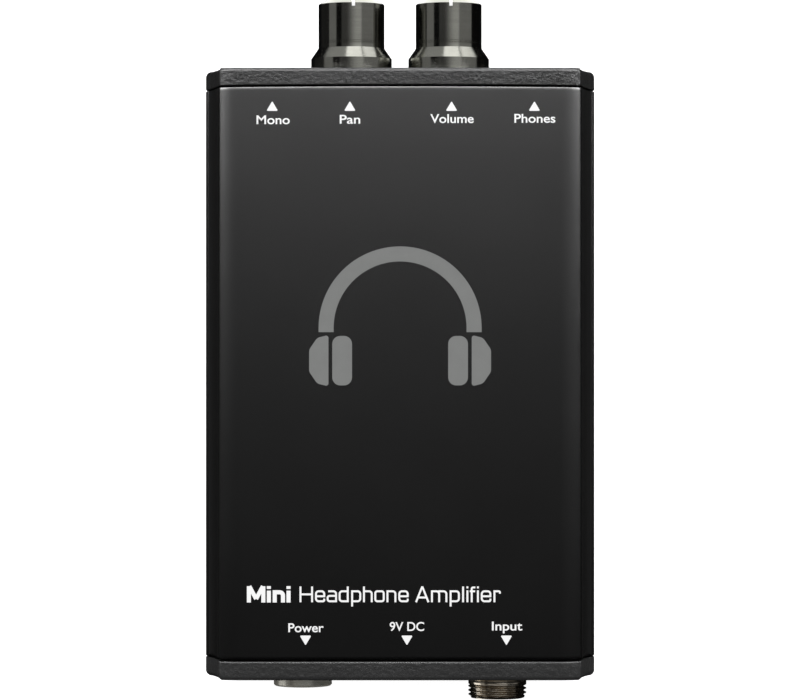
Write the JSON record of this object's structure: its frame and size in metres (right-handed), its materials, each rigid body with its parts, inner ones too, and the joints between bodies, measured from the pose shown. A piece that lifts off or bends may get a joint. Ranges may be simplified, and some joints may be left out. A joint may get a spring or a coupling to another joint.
{
  "type": "headphone amplifier",
  "caption": "Pocket headphone amplifier in a black metal case with pan and volume knobs, mono and power buttons, a phones socket, a DC socket and a threaded input connector.",
  "frame": {"origin": "centre of the overall box in X and Y, on the plane under the rubber feet", "axes": "+X across the case, +Y along its length towards the knobs, +Z the outward normal of the labelled face"},
  "size_m": [0.0838, 0.152, 0.038],
  "materials": {
    "case_black": "satin",
    "cap_black": "satin",
    "knob_gunmetal": "satin",
    "button_steel": "satin",
    "connector_nickel": "satin",
    "contact_brass": "satin",
    "fastener_steel": "satin",
    "foot_rubber": "matte",
    "black_plastic": "matte",
    "circuit_board": "satin",
    "ribbon_grey": "matte",
    "capacitor_sleeve": "satin",
    "battery_case": "satin"
  },
  "bodies": {
    "case": {"amplifier_chip_1": "black_plastic", "amplifier_chip_2": "black_plastic", "base_shell": "case_black", "battery_9v": "battery_case", "battery_snap": "black_plastic", "battery_tray": "black_plastic", "board_ribbon": "ribbon_grey", "board_screw_1": "fastener_steel", "board_screw_2": "fastener_steel", "board_screw_3": "fastener_steel", "board_screw_4": "fastener_steel", "capacitor_1": "capacitor_sleeve", "capacitor_2": "capacitor_sleeve", "capacitor_3": "capacitor_sleeve", "dc_jack_body": "black_plastic", "dc_jack_nut": "connector_nickel", "dc_jack_pin": "connector_nickel", "foot_front_left": "foot_rubber", "foot_front_right": "foot_rubber", "foot_rear_left": "foot_rubber", "foot_rear_right": "foot_rubber", "front_cap_screw_1": "fastener_steel", "front_cap_screw_2": "fastener_steel", "front_cap_screw_3": "fastener_steel", "front_cap_screw_4": "fastener_steel", "front_end_cap": "cap_black", "input_connector_insert": "black_plastic", "input_connector_nut": "connector_nickel", "input_connector_shell": "connector_nickel", "input_contact_1": "contact_brass", "input_contact_2": "contact_brass", "input_contact_3": "contact_brass", "input_contact_4": "contact_brass", "jack_board": "circuit_board", "main_board": "circuit_board", "main_board_header": "black_plastic", "mono_switch_body": "black_plastic", "pan_pot_body": "fastener_steel", "pan_pot_nut": "connector_nickel", "phones_jack_body": "black_plastic", "phones_jack_nut": "connector_nickel", "power_bezel": "button_steel", "power_switch_body": "black_plastic", "rear_cap_screw_1": "fastener_steel", "rear_cap_screw_2": "fastener_steel", "rear_cap_screw_3": "fastener_steel", "rear_cap_screw_4": "fastener_steel", "rear_end_cap": "cap_black", "top_cover": "case_black", "volume_pot_body": "fastener_steel", "volume_pot_nut": "connector_nickel"},
    "pan_control": {"pan_knob": "knob_gunmetal", "pan_pot_shaft": "fastener_steel", "pan_knob_grub_screw": "fastener_steel"},
    "volume_control": {"volume_knob": "knob_gunmetal", "volume_pot_shaft": "fastener_steel", "volume_knob_grub_screw": "fastener_steel"},
    "mono_button": {"mono_button": "black_plastic"},
    "power_button": {"power_button": "button_steel"},
    "battery_door": {"battery_door": "black_plastic"}
  },
  "joints": [
    {"name": "pan_turn", "type": "hinge", "parent": "case", "child": "pan_control", "pos_m": [-0.01055, 0.068, 0.02], "axis": [0, 1, 0], "range_deg": [-150, 150]},
    {"name": "volume_turn", "type": "hinge", "parent": "case", "child": "volume_control", "pos_m": [0.01055, 0.068, 0.02], "axis": [0, 1, 0], "range_deg": [-150, 150]},
    {"name": "mono_press", "type": "slide", "parent": "case", "child": "mono_button", "axis": [0, -1, 0], "range_m": [0, 0.0009], "stiffness_N_per_m": 900, "springref_m": -0.0006},
    {"name": "power_press", "type": "slide", "parent": "case", "child": "power_button", "axis": [0, 1, 0], "range_m": [0, 0.0018], "stiffness_N_per_m": 900, "springref_m": -0.0008},
    {"name": "battery_door_slide", "type": "slide", "parent": "case", "child": "battery_door", "axis": [0, -1, 0], "range_m": [0, 0.02]}
  ]
}
